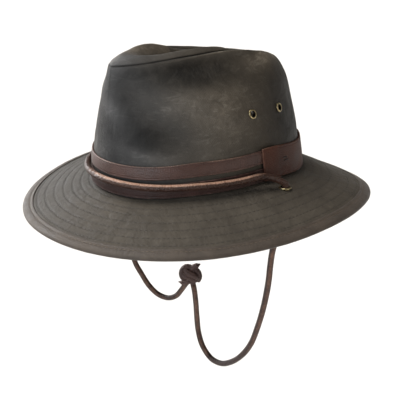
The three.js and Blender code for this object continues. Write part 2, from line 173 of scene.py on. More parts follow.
# The knot, turned to face the camera: its turns by their way across, up and out, and the half sizes
# of its core
KNOT_MIDDLE = (-35.5, 10, -131.7)
KNOT_TURN = 50.8
KNOT_STEP = 0.8
KNOT_WOBBLE = 0.2
KNOT_TURNS = {
    "bight": (
        (-2, -7, 0.5), (-7.5, -4, 1), (-8, 3, 1), (-3.5, 7.2, 0), (2.5, 5.5, 0), (8, 1.5, 0.5),
        (9.3, -4.5, 0.5), (7.5, -9.3, -0.5),
    ),
    "over": ((-6, 6, 0), (-3, 3.5, 3.5), (1.5, 0, 4.6), (6, -3.5, 3), (8, -7, 0)),
    "under": ((-7.5, 1, 1), (-4.5, -1.5, 3.6), (0, -4, 4.2), (4, -7, 2.6), (6, -8, 0)),
    "tail_left": ((4, -7, 1), (-2, -7.8, 3.2), (-7, -8.8, 3), (-12, -8.4, 1.5)),
    "tail_right": ((-1, 3, 0), (3, 6.5, 1), (7.5, 8.5, 1), (11, 9.8, 0.5)),
}
KNOT_CORE = (7, 6.5, 3.6)
# The tails end in a point, from this share of their length
TAIL_TAPER = {"from": 0.72, "amount": 0.8}

# Rows of stitches on the brim, by their way out from the crown. Each pulls a groove into the cloth
# and has a line of painted shade along it in the brim's tone.
BRIM_ROWS = (3.4, 11, 18.7, 26.7, 34.8, 42.8, 50.2)
ROW_GROOVE = {"depth": 0.28, "width": 0.75}
ROW_SHADE_LINE = {"tone": 0.24, "dark": 0.35, "width": 0.8}
BINDING_ROW = 56.4

# Stitches: the space from one to the next, and their length, width and height. Those of the binding
# lie this far above the brim's surface, on both of its sides.
STITCHES = {
    "brim": {"pitch": 4.0, "size": (3.1, 0.75, 0.5)},
    "binding": {"pitch": 3.6, "size": (2.9, 0.6, 0.5), "heights": (0.62, -2.42)},
}
STITCH_CLEARANCE = 2.5
# The two tack stitches of the wrap: their angle in degrees and height, the stretch that gives the
# thread's way, how far they stand out from the leather, and their size
TACKS = {
    "places": ((16.6, 16.2), (17.4, 13.8)),
    "stretch": (0.02, 0.2),
    "stand": 0.2,
    "size": (7.5, 1.1, 0.9),
}

# Puckers across the rows: lumps of a size on a roll of this radius, and their depth. They are
# drawn out towards the edge.
PUCKERS = {"round": 137, "size": 5.5, "depth": 0.22, "drawn_out": 4}
# Lumps of the cloth: for each layer its depth, the size of a lump and a seed
LUMPS = {
    "crown": ((0.55, 26, 1), (0.22, 11, 2)),
    "tip": ((0.5, 22, 4), (0.2, 9, 5)),
    "brim": ((0.3, 34, 8), (0.12, 8, 9)),
    "binding": ((0.12, 6, 12), (0.2, 30, 13)),
}
# Crumples low on the crown's front, on the wearer's right: their depth, and the size of a lump
CRUMPLES = Patch(-106, 0.36, 12, 0.13, 0, 0.7)
CRUMPLE_SIZE = 7

FLOOR_HEIGHT = -1500
FLOOR_GREY = (0.74, 0.74, 0.74)


# Shapes. A place on the crown is an angle round the hat, in radians from the wearer's left, and a
# level. A place on the brim is an angle and a share of the way out. Both may be arrays.

def smoothstep(low, high, value):
    share = np.clip((value - low) / (high - low), 0, 1)
    return share * share * (3 - 2 * share)


def blend(start, end, share):
    return start + (end - start) * share


def unit(vectors):
    return vectors / np.linalg.norm(vectors, axis=-1, keepdims=True)


def bend(start, end, start_slope, end_slope, step, share):
    """A smooth curve from start to end with a slope at each, at a share of the step between them."""
    ease = share * share * (3 - 2 * share)
    pull = share * (1 - share) ** 2 * step * start_slope
    push = share * share * (share - 1) * step * end_slope
    return start * (1 - ease) + end * ease + pull + push


def column(table, key, name, value):
    """One column of a table at places between its rows, as a smooth curve through the rows."""
    keys, values = np.array(table[key], float), np.array(table[name], float)
    at = np.clip(np.searchsorted(keys, value) - 1, 0, len(keys) - 2)
    before = np.maximum(np.arange(len(keys)) - 1, 0)
    after = np.minimum(np.arange(len(keys)) + 1, len(keys) - 1)
    slopes = (values[after] - values[before]) / (keys[after] - keys[before])
    step = keys[at + 1] - keys[at]
    return bend(values[at], values[at + 1], slopes[at], slopes[at + 1], step, (value - keys[at]) / step)


def frontness(angle):
    return (1 - np.sin(angle)) / 2


def within(patch, degrees, level):
    """1 in the middle of a patch, and down to 0 around it."""
    off = degrees - patch.angle
    rise = level - patch.level + patch.lean * off
    return np.exp(-((off / patch.spread) ** 2) - (rise / patch.reach) ** 2)


def dent_at(angle, level):
    degrees = np.degrees(np.arcsin(np.clip(np.sin(angle), -1, 1)))
    depth = 0
    for dent in DENTS:
        deepest = np.where(np.cos(angle) > 0, dent.amount["left"], dent.amount["right"])
        depth = depth + deepest * within(dent, degrees, level)
    return depth * np.minimum(1, level / DENTS_FROM) ** 2


def seam_dip_at(angle):
    along = np.sin(angle)
    back, front = SEAM_DIPS["back"], SEAM_DIPS["front"]
    at_back = back["depth"] * smoothstep(back["from"], back["full"], along)
    return at_back + front["depth"] * smoothstep(front["from"], front["full"], -along)


def crown_at(angle, level):
    """Outer surface of the crown's side."""
    def section(name):
        return column(CROWN_SECTIONS, "level", name, level)

    front = frontness(angle) ** 2
    narrow = 1 - section("pinch") * front
    reach = np.where(np.sin(angle) < 0, section("front"), section("back"))
    dent = dent_at(angle, level)
    along = np.sin(angle)
    left = column(SEAM_LINE, "along", "left", along)
    right = column(SEAM_LINE, "along", "right", along)
    seam = np.where(np.cos(angle) > 0, left, right)
    x = (section("half") * narrow - dent) * np.cos(angle)
    y = (reach - dent) * np.sin(angle)
    z = blend(section("climb_back"), section("climb_front"), front) * seam
    return np.stack([x, y, z - seam_dip_at(angle) * (1 - level) ** 2], -1)


def outward(surface, angle, along):
    turn, move = 0.01, 0.004
    round_ = surface(angle + turn, along) - surface(angle - turn, along)
    rise = surface(angle, along + move) - surface(angle, along - move)
    return unit(np.cross(round_, rise))


def out_of_crown(angle, level):
    """The way out of the crown's side. At its seams it is taken just inside them."""
    return outward(crown_at, angle, np.clip(level, 0.004, 0.996))


def crown_out(angle, level, distance):
    return crown_at(angle, level) + out_of_crown(angle, level) * np.asarray(distance)[..., None]


def level_of(angle, height):
    low = np.zeros(np.shape(angle))
    high = np.ones(np.shape(angle))
    for _ in range(20):
        middle = (low + high) / 2
        under = crown_at(angle, middle)[..., 2] < height
        low = np.where(under, middle, low)
        high = np.where(under, high, middle)
    return (low + high) / 2


def band_level(angle, height):
    """Level of a height above the brim seam, which follows the seam's dips."""
    return level_of(angle, height - seam_dip_at(angle))


def band_place(angle, height, distance):
    return crown_out(angle, band_level(angle, height), distance)


def tip_at(angle, reach):
    """Upper surface of the tip, from its seam (reach 1) to its middle (reach 0)."""
    seam = crown_at(angle, np.ones(np.shape(angle)))
    front = frontness(angle)
    side = TIP["rise_side"] * smoothstep(*TIP_FRONTNESS["side"], front)
    rise = blend(side, TIP["rise_nose"], smoothstep(*TIP_FRONTNESS["nose"], front))
    inwards = np.minimum((1 - reach) / (1 - TIP["crest"]), 1)
    y = TIP["middle"] + (seam[..., 1] - TIP["middle"]) * reach
    backness = smoothstep(TIP_FLOOR["front_at"], TIP_FLOOR["back_at"], y)
    floor = blend(TIP_FLOOR["front"], TIP_FLOOR["back"], backness)
    crest = seam[..., 2] + rise * np.sin(inwards * math.pi / 2)
    z = blend(crest, floor, smoothstep(*TIP["slope"], 1 - reach))
    return np.stack([seam[..., 0] * reach, y, z], -1)


def brim_fall_at(angle):
    waves = BRIM_FALL["pairs"] * np.cos(2 * angle) + BRIM_FALL["thirds"] * np.sin(3 * angle)
    leans = BRIM_FALL["towards_back"] * np.sin(angle) + BRIM_FALL["towards_left"] * np.cos(angle)
    return BRIM_FALL["mean"] + waves + leans


def brim_at(angle, out):
    """Upper surface of the brim, from the crown's inside (out 0) to the edge (out 1)."""
    inner = BRIM_REACH * out - CLOTH_WALL
    x = (HEAD_WIDTH / 2 + inner) * np.cos(angle)
    y = (HEAD_LENGTH / 2 + inner) * np.sin(angle)
    slope = blend(out, out * out, BRIM_CURVE)
    dip = seam_dip_at(angle) * (1 - out)
    return np.stack([x, y, -SEAT_GAP - dip - brim_fall_at(angle) * slope], -1)


def out_share(distance):
    """Share of the brim's reach at a distance from the crown, in millimetres."""
    return (np.asarray(distance, float) + CLOTH_WALL) / BRIM_REACH


def smooth_path(points, spacing):
    """Points every spacing millimetres on a centripetal curve through the given points."""
    given = np.array(points, float)
    given = np.vstack([2 * given[0] - given[1], given, 2 * given[-1] - given[-2]])
    fine = []
    for before, start, end, after in zip(given[:-3], given[1:-2], given[2:-1], given[3:]):
        knots = [0.0]
        for one, other in ((before, start), (start, end), (end, after)):
            knots.append(knots[-1] + math.sqrt(np.linalg.norm(other - one)))
        to_start = (start - before) / knots[1] - (end - before) / knots[2]
        to_start += (end - start) / (knots[2] - knots[1])
        to_end = (end - start) / (knots[2] - knots[1]) - (after - start) / (knots[3] - knots[1])
        to_end += (after - end) / (knots[3] - knots[2])
        width = knots[2] - knots[1]
        for share in np.linspace(0, 1, 24, endpoint=False):
            fine.append(bend(start, end, to_start, to_end, width, share))
    fine = np.array([*fine, given[-2]])
    gone = np.concatenate([[0], np.cumsum(np.linalg.norm(np.diff(fine, axis=0), axis=1))])
    marks = np.linspace(0, gone[-1], max(2, round(gone[-1] / spacing) + 1))
    return np.stack([np.interp(marks, gone, fine[:, axis]) for axis in range(3)], -1)


def path_length(points):
    return float(np.linalg.norm(np.diff(points, axis=0), axis=1).sum())


def ripple(points, size, seed):
    """Gentle noise between -1 and 1 at points, with lumps of about that many millimetres."""
    shift = Vector((seed * 7.3, seed * 3.1, seed * 5.7))
    return np.array([noise.noise(Vector(p) / size + shift) for p in points])


def lumps(cloth, points):
    return sum(depth * ripple(points, size, seed) for depth, size, seed in LUMPS[cloth])


# Mesh code

WELD = 0.004 * MM
DRILL_DEPTH = 12
DRILL_SPARE = 0.1


def bent_grid(around, along, place):
    """A grid with a column for each number in around and a row for each in along. The function
    place gives their points, in millimetres, and a dictionary of marks: a number for each point."""
    bm = bmesh.new()
    bm.loops.layers.uv.new("Cloth")
    columns, rows = len(around) - 1, len(along) - 1
    bmesh.ops.create_grid(bm, x_segments=columns, y_segments=rows, size=0.5, calc_uvs=True)
    across = np.array([round((vert.co.x + 0.5) * columns) for vert in bm.verts])
    up = np.array([round((vert.co.y + 0.5) * rows) for vert in bm.verts])
    spots, marks = place(np.asarray(around, float)[across], np.asarray(along, float)[up])
    for vert, spot in zip(bm.verts, spots * MM):
        vert.co = spot
    for name, values in marks.items():
        layer = bm.verts.layers.float.new(name)
        for vert, value in zip(bm.verts, values):
            vert[layer] = value
    return bm


def set_cloth(bm, width, height):
    """Gives the cloth's own coordinates, in metres, to a grid's map."""
    cloth = bm.loops.layers.uv.verify()
    for face in bm.faces:
        for loop in face.loops:
            loop[cloth].uv = (loop[cloth].uv.x * width * MM, loop[cloth].uv.y * height * MM)


def set_plan(bm):
    """Gives a flat cut's coordinates: the place of each corner seen from above."""
    cloth = bm.loops.layers.uv.verify()
    for face in bm.faces:
        for loop in face.loops:
            loop[cloth].uv = loop.vert.co.xy


def close_up(bm, open_ends=False):
    """Joins a grid where its edges meet, fills its open ends and turns its faces out."""
    bmesh.ops.remove_doubles(bm, verts=bm.verts, dist=WELD)
    if open_ends:
        bmesh.ops.holes_fill(bm, edges=bm.edges, sides=0)
    bmesh.ops.recalc_face_normals(bm, faces=bm.faces)


def new_mesh(name, bm):
    mesh = bpy.data.meshes.new(name)
    bm.to_mesh(mesh)
    bm.free()
    return mesh


def new_object(name, data):
    made = bpy.data.objects.new(name, data)
    bpy.context.scene.collection.objects.link(made)
    return made


def make_piece(name, bm, material, slot, *stands_for):
    """Turns a bmesh into a piece that rides with the hat."""
    for face in bm.faces:
        face.smooth = True
    piece = new_object(name, new_mesh(name, bm))
    piece.data.materials.append(material)
    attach(piece, "root")
    if stands_for:
        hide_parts(*stands_for)
    return piece


def frame_matrix(place, along, up, sizes=(1, 1, 1)):
    """Matrix that puts a shape at a place, with its X along one direction and its Z up another."""
    along, up = unit(np.array(along, float)), np.array(up, float)
    side = unit(np.cross(up, along))
    up = np.cross(along, side)
    matrix = np.eye(4)
    matrix[:3, :3] = np.stack([along, side, up], -1) * np.array(sizes) * MM
    matrix[:3, 3] = np.array(place, float) * MM
    return Matrix(matrix)


def axis_matrix(place, direction):
    """Matrix that puts a turned shape at a place, with its axis along a direction."""
    across = np.cross(direction, UP) if abs(direction[2]) < 0.9 else np.array([1.0, 0, 0])
    return frame_matrix(place, across, direction)


def drill(piece, barrel, place, direction):
    """Cuts a round hole for an eyelet's barrel through a piece."""
    bm = bmesh.new()
    radius = barrel + DRILL_SPARE
    sizes = {"radius1": radius, "radius2": radius, "depth": DRILL_DEPTH}
    matrix = axis_matrix(place, direction)
    bmesh.ops.create_cone(bm, cap_ends=True, segments=32, matrix=matrix, **sizes)
    cutter = new_object("drill", new_mesh("drill", bm))
    cut = piece.modifiers.new("hole", "BOOLEAN")
    cut.operation = "DIFFERENCE"
    cut.object = cutter
    cut.solver = "EXACT"
    bpy.context.view_layer.update()
    whole = piece.evaluated_get(bpy.context.evaluated_depsgraph_get())
    holed = bpy.data.meshes.new_from_object(whole)
    piece.modifiers.clear()
    used = (piece.data, cutter.data)
    piece.data = holed
    bpy.data.objects.remove(cutter)
    for mesh in used:
        bpy.data.meshes.remove(mesh)
    holed.name = piece.name


def sew(name, rows, size, material, slot):
    """A piece of many stitches. Each row has a place, the way that the thread runs, and the way up."""
    ball = bmesh.new()
    lengthwise = Matrix.Rotation(math.pi / 2, 4, "Y")
    bmesh.ops.create_uvsphere(ball, u_segments=6, v_segments=4, radius=0.5, matrix=lengthwise)
    stitch = new_mesh("stitch", ball)
    whole = bmesh.new()
    for place, along, up in rows:
        one = stitch.copy()
        one.transform(frame_matrix(place, along, up, size))
        whole.from_mesh(one)
        bpy.data.meshes.remove(one)
    bpy.data.meshes.remove(stitch)
    make_piece(name, whole, material, slot)


# Node materials

def set_inputs(tree, node, inputs):
    """Links the inputs that are given as a socket, and sets the others on the node itself."""
    for name, value in inputs.items():
        if isinstance(value, bpy.types.NodeSocket):
            tree.links.new(value, node.inputs[name])
        else:
            node.inputs[name].default_value = value


def add_node(tree, kind, inputs=None, **settings):
    made = tree.nodes.new(kind)
    for name, value in settings.items():
        setattr(made, name, value)
    set_inputs(tree, made, inputs or {})
    return made


def use_group(tree, group, inputs):
    return add_node(tree, "ShaderNodeGroup", inputs, node_tree=group).outputs


def math_node(tree, operation, first, second=0.0):
    return add_node(tree, "ShaderNodeMath", {0: first, 1: second}, operation=operation).outputs[0]


def times(tree, first, second):
    return math_node(tree, "MULTIPLY", first, second)


def remap(tree, value, low, high, to_low=0.0, to_high=1.0):
    inputs = {"Value": value, "From Min": low, "From Max": high, "To Min": to_low, "To Max": to_high}
    return add_node(tree, "ShaderNodeMapRange", inputs).outputs[0]


def mix_colour(tree, share, first, second):
    """Two colours mixed. Each is a socket or its red, green and blue."""
    inputs = {"Factor": share}
    for place, colour in ((6, first), (7, second)):
        inputs[place] = colour if isinstance(colour, bpy.types.NodeSocket) else (*colour, 1)
    return add_node(tree, "ShaderNodeMix", inputs, data_type="RGBA").outputs[2]


def noise_node(tree, vector, scale, detail, roughness=0.5, distortion=0.0):
    inputs = {"Vector": vector, "Scale": scale, "Detail": detail}
    inputs |= {"Roughness": roughness, "Distortion": distortion}
    return add_node(tree, "ShaderNodeTexNoise", inputs).outputs["Fac"]


def attribute(tree, name):
    return add_node(tree, "ShaderNodeAttribute", attribute_name=name).outputs["Fac"]


def bump(tree, *layers):
    """Normal from several heights, each with its depth in metres."""
    normal = {}
    for height, depth in layers:
        inputs = {"Height": height, "Distance": depth, "Strength": 1.0, **normal}
        normal = {"Normal": add_node(tree, "ShaderNodeBump", inputs).outputs[0]}
    return normal["Normal"]


def new_group(name, numbers, results):
    """A shader node group with a vector and named numbers in, and named numbers out."""
    tree = bpy.data.node_groups.new(name, "ShaderNodeTree")
    tree.interface.new_socket("Vector", in_out="INPUT", socket_type="NodeSocketVector")
    for number, value in numbers.items():
        socket = tree.interface.new_socket(number, in_out="INPUT", socket_type="NodeSocketFloat")
        socket.default_value = value
    for result in results:
        tree.interface.new_socket(result, in_out="OUTPUT", socket_type="NodeSocketFloat")
    return tree, tree.nodes.new("NodeGroupInput").outputs, tree.nodes.new("NodeGroupOutput")


def mottle_group():
    """Cloudy patches and drawn-out rub marks of waxed cloth."""
    numbers = {"Cloud Size": 0.03, "Streak Size": 0.004}
    tree, given, wanted = new_group("mottle", numbers, ("Clouds", "Streaks"))
    cloud_scale = math_node(tree, "DIVIDE", 1.0, given["Cloud Size"])
    clouds = noise_node(tree, given["Vector"], cloud_scale, 5.0, 0.6, 0.6)
    turned = {"Vector": given["Vector"], "Rotation": (0.1, 0.25, 0.3), "Scale": (0.34, 0.5, 1.3)}
    drawn = add_node(tree, "ShaderNodeMapping", turned).outputs[0]
    streak_scale = math_node(tree, "DIVIDE", 1.0, given["Streak Size"])
    streaks = noise_node(tree, drawn, streak_scale, 6.0, 0.7, 1.2)
    results = {"Clouds": remap(tree, clouds, 0.32, 0.68), "Streaks": remap(tree, streaks, 0.52, 0.74)}
    set_inputs(tree, wanted, results)
    return tree


def weave_group():
    """Threads that go over and under each other, on a map in metres."""
    tree, given, wanted = new_group("weave", {"Pitch": 0.0007}, ("Height",))
    scale = math_node(tree, "DIVIDE", WHOLE_TURN, given["Pitch"])
    parts = add_node(tree, "ShaderNodeSeparateXYZ", {"Vector": given["Vector"]}).outputs
    warp, weft = (math_node(tree, "SINE", times(tree, parts[way], scale)) for way in ("X", "Y"))
    set_inputs(tree, wanted, {"Height": remap(tree, times(tree, warp, weft), -1.0, 1.0)})
    return tree


def grain_group():
    """Pebbles and fine wrinkles of leather."""
    tree, given, wanted = new_group("grain", {"Size": 0.0012}, ("Height", "Tone"))
    scale = math_node(tree, "DIVIDE", 1.0, given["Size"])
    fine = {"Vector": given["Vector"], "Scale": 240.0, "Detail": 4.0}
    wrinkled = add_node(tree, "ShaderNodeTexNoise", fine).outputs
    shift = {"Factor": 0.0006, 4: given["Vector"], 5: wrinkled["Color"]}
    bent = add_node(tree, "ShaderNodeMix", shift, data_type="VECTOR").outputs[1]
    cells = {"Vector": bent, "Scale": scale}
    pebbles = add_node(tree, "ShaderNodeTexVoronoi", cells, feature="SMOOTH_F1")
    pebbles.inputs["Smoothness"].default_value = 0.4
    rise = remap(tree, pebbles.outputs["Distance"], 0.0, 0.7, 1.0, 0.0)
    height = math_node(tree, "ADD", rise, times(tree, wrinkled["Fac"], 0.5))
    tone = noise_node(tree, given["Vector"], 55.0, 6.0, 0.65)
    set_inputs(tree, wanted, {"Height": height, "Tone": remap(tree, tone, 0.3, 0.7)})
    return tree


def rub_and_highlight_group():
    """Breaks up a mask of paler places, so that it looks worn by hand. The mask is rubbed wear on the
    band's strips and a painted highlight on the cords and the knot.
    """
    tree, given, wanted = new_group("rub_and_highlight", {"Mask": 0.0, "Break Up": 0.5}, ("RubbedAndHighlight",))
    rough = noise_node(tree, given["Vector"], 160.0, 5.0, 0.7)
    cut = times(tree, math_node(tree, "SUBTRACT", rough, 0.5), given["Break Up"])
    spread = math_node(tree, "ADD", given["Mask"], times(tree, cut, 2.0))
    at_all = remap(tree, given["Mask"], 0.0, 0.2)
    set_inputs(tree, wanted, {"RubbedAndHighlight": times(tree, remap(tree, spread, 0.25, 0.9), at_all)})
    return tree


MOTTLE = mottle_group()
WEAVE = weave_group()
GRAIN = grain_group()
RUB_AND_HIGHLIGHT = rub_and_highlight_group()


def new_material(name):
    material = bpy.data.materials.new(name)
    material.use_nodes = True
    return material, material.node_tree, material.node_tree.nodes["Principled BSDF"]


def coordinates(tree):
    return add_node(tree, "ShaderNodeTexCoord").outputs


def cotton_patterns(tree, spot, cloud, streak, pitch):
    """Mottling and weave of a cloth, from the sizes of its clouds, streaks and threads."""
    sizes = {"Vector": spot["Object"], "Cloud Size": cloud, "Streak Size": streak}
    mottle = use_group(tree, MOTTLE, sizes)
    return mottle, use_group(tree, WEAVE, {"Vector": spot["UV"], "Pitch": pitch})


def waxed_cotton():
    """Waxed cloth. Its tone marks are the wax's own tone together with painted light and shade, as a
    power of e, its tint marks a painted cool reflection, and its Rubs marks how many rub marks it has."""
    material, tree, shader = new_material("waxed_cotton")
    spot = coordinates(tree)
    mottle, weave = cotton_patterns(tree, spot, 0.024, 0.006, 0.0013)
    reflection_tint, wax_and_light = attribute(tree, "CoolReflection"), attribute(tree, "WaxAndLight")
    # Each colour runs from the wax's brown to the grey of a painted cool reflection
    dark = mix_colour(tree, reflection_tint, (0.038, 0.032, 0.0247), (0.0345, 0.0343, 0.0348))
    light = mix_colour(tree, reflection_tint, (0.055, 0.0465, 0.0355), (0.05, 0.0494, 0.0497))
    rubbed_and_highlight = mix_colour(tree, reflection_tint, (0.098, 0.087, 0.071), (0.094, 0.093, 0.092))
    base = mix_colour(tree, mottle["Clouds"], dark, light)
    amount = times(tree, remap(tree, wax_and_light, -1.0, 0.6, 0.15, 0.75), attribute(tree, "Rubs"))
    streaked = mix_colour(tree, times(tree, mottle["Streaks"], amount), base, rubbed_and_highlight)
    patchy = noise_node(tree, spot["Object"], 70.0, 6.0, 0.7, 0.8)
    tone = math_node(tree, "POWER", math.e, times(tree, wax_and_light, remap(tree, patchy, 0.3, 0.7, 0.45, 1.55)))
    toned = add_node(tree, "ShaderNodeVectorMath", {0: streaked, "Scale": tone}, operation="SCALE")
    rough = remap(tree, mottle["Clouds"], 0.0, 1.0, 0.5, 0.66)
    creases = noise_node(tree, spot["Object"], 90.0, 5.0, 0.6, 0.8)
    set_inputs(tree, shader, {
        "Base Color": toned.outputs[0],
        "Roughness": math_node(tree, "ADD", rough, times(tree, mottle["Streaks"], 0.1)),
        "Normal": bump(tree, (creases, 0.0009), (weave["Height"], 0.00012)),
        "Sheen Weight": 0.02,
        "Sheen Roughness": 0.4,
        "Specular IOR Level": 0.15,
    })
    return material


def binding_cotton():
    material, tree, shader = new_material("binding_cotton")
    spot = coordinates(tree)
    mottle, weave = cotton_patterns(tree, spot, 0.018, 0.005, 0.0011)
    base = mix_colour(tree, mottle["Clouds"], (0.037, 0.0275, 0.0205), (0.059, 0.045, 0.034))
    set_inputs(tree, shader, {
        "Base Color": mix_colour(tree, times(tree, mottle["Streaks"], 0.4), base, (0.1, 0.079, 0.06)),
        "Roughness": remap(tree, mottle["Clouds"], 0.0, 1.0, 0.5, 0.65),
        "Normal": bump(tree, (mottle["Clouds"], 0.0003), (weave["Height"], 0.00012)),
        "Sheen Weight": 0.08,
        "Specular IOR Level": 0.35,
    })
    return material


def leather(name, dark, light, rubbed_and_highlight, roughness, shine, grain):
    """Leather whose marks of wear and painted light are where it is paler: rubbed wear on the band's
    strips, and a painted highlight on the cords and the knot. The grain is a size and a depth.
    """
    material, tree, shader = new_material(name)
    spot = coordinates(tree)
    size, depth = grain
    pebbled = use_group(tree, GRAIN, {"Vector": spot["Object"], "Size": size})
    worn_and_highlight = {"Vector": spot["Object"], "Mask": attribute(tree, "WornAndPaintedLight"), "Break Up": 0.8}
    rub_and_highlight = use_group(tree, RUB_AND_HIGHLIGHT, worn_and_highlight)
    base = mix_colour(tree, pebbled["Tone"], dark, light)
    set_inputs(tree, shader, {
        "Base Color": mix_colour(tree, rub_and_highlight["RubbedAndHighlight"], base, rubbed_and_highlight),
        "Roughness": remap(tree, pebbled["Tone"], 0.0, 1.0, roughness, roughness + 0.14),
        "Normal": bump(tree, (pebbled["Height"], depth)),
        "Specular IOR Level": shine,
    })
    return material


def thread(name, colour):
    """Twisted thread, between a colour and a lighter one."""
    material, tree, shader = new_material(name)
    spot = coordinates(tree)
    twist = noise_node(tree, spot["Object"], 900.0, 3.0)
    lighter = [1.7 * part for part in colour]
    set_inputs(tree, shader, {
        "Base Color": mix_colour(tree, twist, colour, lighter),
        "Roughness": remap(tree, twist, 0.3, 0.7, 0.5, 0.75),
        "Normal": bump(tree, (twist, 0.0001)),
    })
    return material


def aged_brass():
    """Brass whose marks of wear and painted light are painted shade here: near black in the holes and
    below the cloth.
    """
    material, tree, shader = new_material("aged_brass")
    spot = coordinates(tree)
    tarnish = noise_node(tree, spot["Object"], 420.0, 5.0, 0.6)
    share = remap(tree, tarnish, 0.42, 0.66)
    metal = mix_colour(tree, share, (0.5, 0.42, 0.24), (0.2, 0.155, 0.085))
    set_inputs(tree, shader, {
        "Base Color": mix_colour(tree, attribute(tree, "WornAndPaintedLight"), metal, (0.012, 0.01, 0.008)),
        "Roughness": remap(tree, share, 0.0, 1.0, 0.28, 0.46),
        "Normal": bump(tree, (tarnish, 0.00008)),
        "Metallic": 1.0,
    })
    return material


COTTON = waxed_cotton()
BINDING = binding_cotton()
# The paler colour of each leather is rubbed wear on the band's strips and a painted highlight on the
# cords and the knot
LEATHER_LOOKS = {
    "band_leather": {
        "dark": (0.034, 0.0152, 0.0115), "light": (0.064, 0.0305, 0.0232), "rubbed_and_highlight": (0.13, 0.08, 0.06),
        "roughness": 0.37, "shine": 0.36, "grain": (0.0011, 0.0002),
    },
    # The lower strap's leather is the band's made darker: painted shade under the cord
    "shaded_leather": {
        "dark": (0.019, 0.0078, 0.0064), "light": (0.037, 0.016, 0.013), "rubbed_and_highlight": (0.1, 0.06, 0.05),
        "roughness": 0.46, "shine": 0.22, "grain": (0.0011, 0.0002),
    },
    "wrap_leather": {
        "dark": (0.038, 0.0132, 0.0078), "light": (0.07, 0.0255, 0.0152), "rubbed_and_highlight": (0.11, 0.058, 0.039),
        "roughness": 0.55, "shine": 0.2, "grain": (0.0011, 0.0002),
    },
    "cord_leather": {
        "dark": (0.024, 0.0108, 0.0074), "light": (0.055, 0.026, 0.0175), "rubbed_and_highlight": (0.32, 0.19, 0.135),
        "roughness": 0.34, "shine": 0.3, "grain": (0.0014, 0.0005),
    },
    # The hanging strands' leather is the cord's leather made darker, as painted shade, and its paler
    # colour is a painted highlight
    "shaded_hanging_leather": {
        "dark": (0.012, 0.0046, 0.0032), "light": (0.034, 0.0136, 0.0092), "rubbed_and_highlight": (0.15, 0.08, 0.052),
        "roughness": 0.34, "shine": 0.28, "grain": (0.0014, 0.0006),
    },
    "knot_leather": {
        "dark": (0.033, 0.0185, 0.016), "light": (0.075, 0.045, 0.04), "rubbed_and_highlight": (0.13, 0.085, 0.075),
        "roughness": 0.42, "shine": 0.22, "grain": (0.0014, 0.0006),
    },
}
LEATHERS = {name: leather(name, **look) for name, look in LEATHER_LOOKS.items()}
DARK_THREAD = thread("dark_thread", (0.024, 0.02, 0.0155))
BLACK_THREAD = thread("black_thread", (0.006, 0.005, 0.0045))
TAN_THREAD = thread("tan_thread", (0.08, 0.06, 0.042))
BRASS = aged_brass()


# Camera

def add_camera():
    turn, tilt, roll = (math.radians(CAMERA[name]) for name in ("azimuth", "elevation", "roll"))
    across = np.array([math.cos(turn), math.sin(turn), 0])
    aim = across * CAMERA["aim_across"] + UP * CAMERA["aim_up"]
    back = np.array([math.sin(turn) * math.cos(tilt), -math.cos(turn) * math.cos(tilt), math.sin(tilt)])
    eye = back * CAMERA["distance"]
    look = unit(aim - eye)
    right = unit(np.cross(look, UP))
    up = np.cross(right, look)
    rolled_right = math.cos(roll) * right + math.sin(roll) * up
    rolled_up = math.cos(roll) * up - math.sin(roll) * right
    data = bpy.data.cameras.new("camera")
    data.sensor_width = SENSOR
    data.lens = SENSOR * CAMERA["focal_pixels"] / CAMERA["frame_pixels"]
    data.clip_start, data.clip_end = 0.05, 60
    camera = new_object("camera", data)
    matrix = np.eye(4)
    matrix[:3] = np.stack([rolled_right, rolled_up, -look, eye * MM], -1)
    camera.matrix_world = Matrix(matrix)
    bpy.context.scene.camera = camera
    return right, back


CAMERA_RIGHT, CAMERA_BACK = add_camera()


# Cords

def cord_seat(side):
    angle = math.radians(CORD_EYELET_ANGLES[side])
    out = out_share(CORD_EYELET_OUT)
    direction = -outward(brim_at, np.array(angle), out)
    return brim_at(np.array(angle), out) - direction * BRIM_WALL / 2, direction


def through_eyelet(side, heights):
    place, direction = cord_seat(side)
    return [place + direction * height for height in heights]


def tube_frames(path):
    """Two cross directions at each point of a path, turned as little as possible."""
    along = unit(np.gradient(path, axis=0))
    first = np.cross(along[0], UP if abs(along[0][2]) < 0.9 else np.array([1.0, 0, 0]))
    sides = [unit(first)]
    for way in along[1:]:
        sides.append(unit(sides[-1] - way * (sides[-1] @ way)))
    sides = np.array(sides)
    return sides, np.cross(along, sides)


def round_cord(path, radius, highlight_side, rubbed_and_highlight=1.0):
    """A closed tube along a path, with a painted highlight on the side that faces one direction. The
    radius and the strength of the highlight are a number, or one for each point of the path."""
    first, second = tube_frames(path)
    radii = np.broadcast_to(radius, len(path))
    amount = np.broadcast_to(rubbed_and_highlight, len(path))

    def place(turn, at):
        at = at.astype(int)
        round_ = first[at] * np.cos(turn)[:, None] + second[at] * np.sin(turn)[:, None]
        worn_and_highlight = smoothstep(0.4, 0.9, round_ @ unit(np.array(highlight_side, float)))
        return path[at] + round_ * radii[at][:, None], {"WornAndPaintedLight": worn_and_highlight * amount[at]}

    bm = bent_grid(np.linspace(0, WHOLE_TURN, CORD_SIDES + 1), np.arange(len(path)), place)
    set_cloth(bm, math.pi * CORD_DIAMETER, path_length(path))
    close_up(bm, open_ends=True)
    return bm


def wobble(count, amount, seed):
    """Slight change of a cord's thickness along its length."""
    return np.array([amount * noise.noise(Vector((i * 0.11, seed, 0.5))) for i in range(count)])


def round_front(degrees, stand=0.0):
    angle = math.radians(degrees)
    height = blend(CORD_HEIGHT["side"], CORD_HEIGHT["front"], math.sin(angle) ** 2)
    return band_place(np.array(angle), height, OVER_STRAP + CORD_DIAMETER / 2 + stand)


